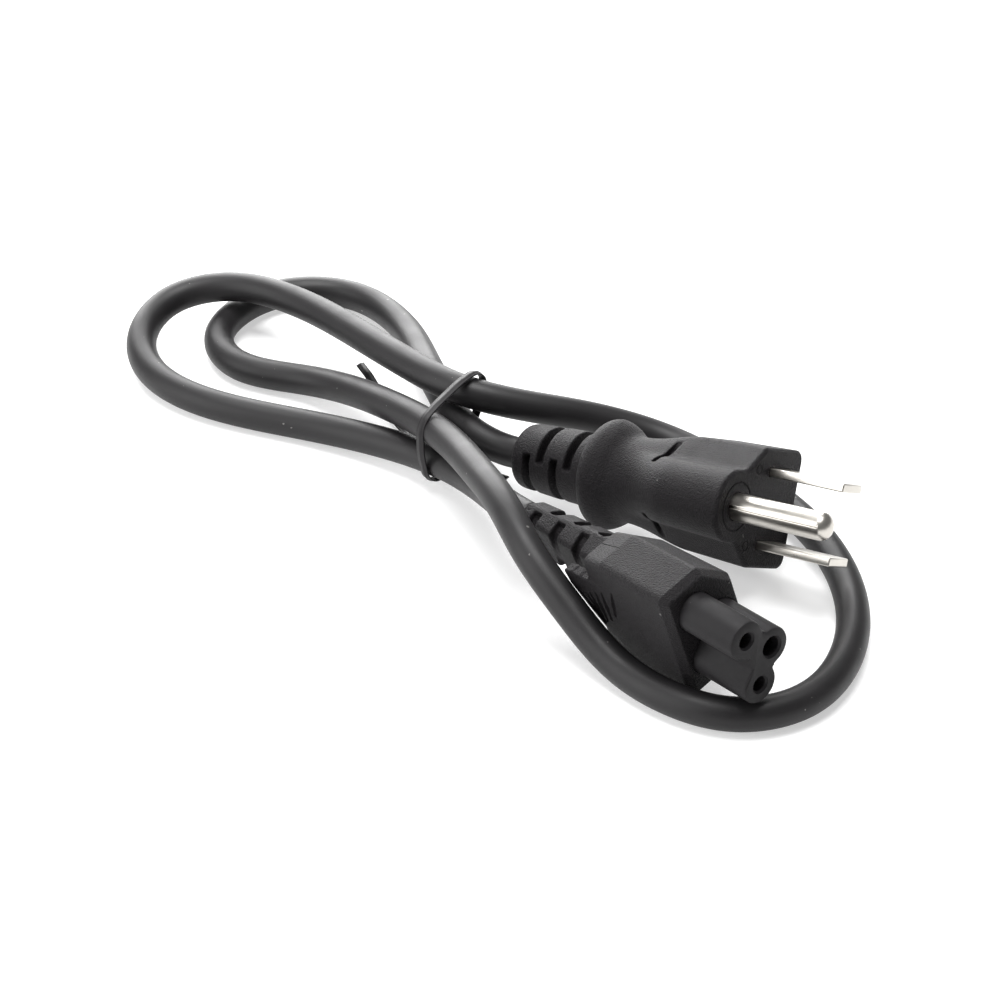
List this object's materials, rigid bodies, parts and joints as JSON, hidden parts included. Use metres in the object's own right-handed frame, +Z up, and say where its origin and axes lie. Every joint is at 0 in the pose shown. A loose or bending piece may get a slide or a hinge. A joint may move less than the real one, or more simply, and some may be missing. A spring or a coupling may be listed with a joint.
{
  "type": "power cord",
  "caption": "Short grounded mains lead, folded and held by a twist tie: flat-blade plug, round black cord and clover-shaped appliance connector.",
  "frame": {"origin": "on the surface that the lead lies on, under the middle of the box round the plug and the connector", "axes": "+Z up from the surface, +Y away from the viewer of the picture, +X to the viewer's right"},
  "size_m": [0.1346, 0.1487, 0.0255],
  "materials": {
    "cord_jacket": "satin black vinyl, faintly ribbed along its length",
    "moulding": "matt black vinyl with a fine sparked texture",
    "nose": "smooth satin black plastic",
    "tie": "satin black plastic ribbon",
    "plating": "bright nickel plating",
    "spring": "dull brass"
  },
  "bodies": {
    "root": {"cord": "cord_jacket", "twist_tie": "tie", "plug_body": "moulding", "line_blade": "plating", "neutral_blade": "plating", "ground_pin": "plating", "connector_body": "moulding", "connector_nose": "nose", "line_contact": "spring", "neutral_contact": "spring", "earth_contact": "spring"}
  },
  "joints": []
}
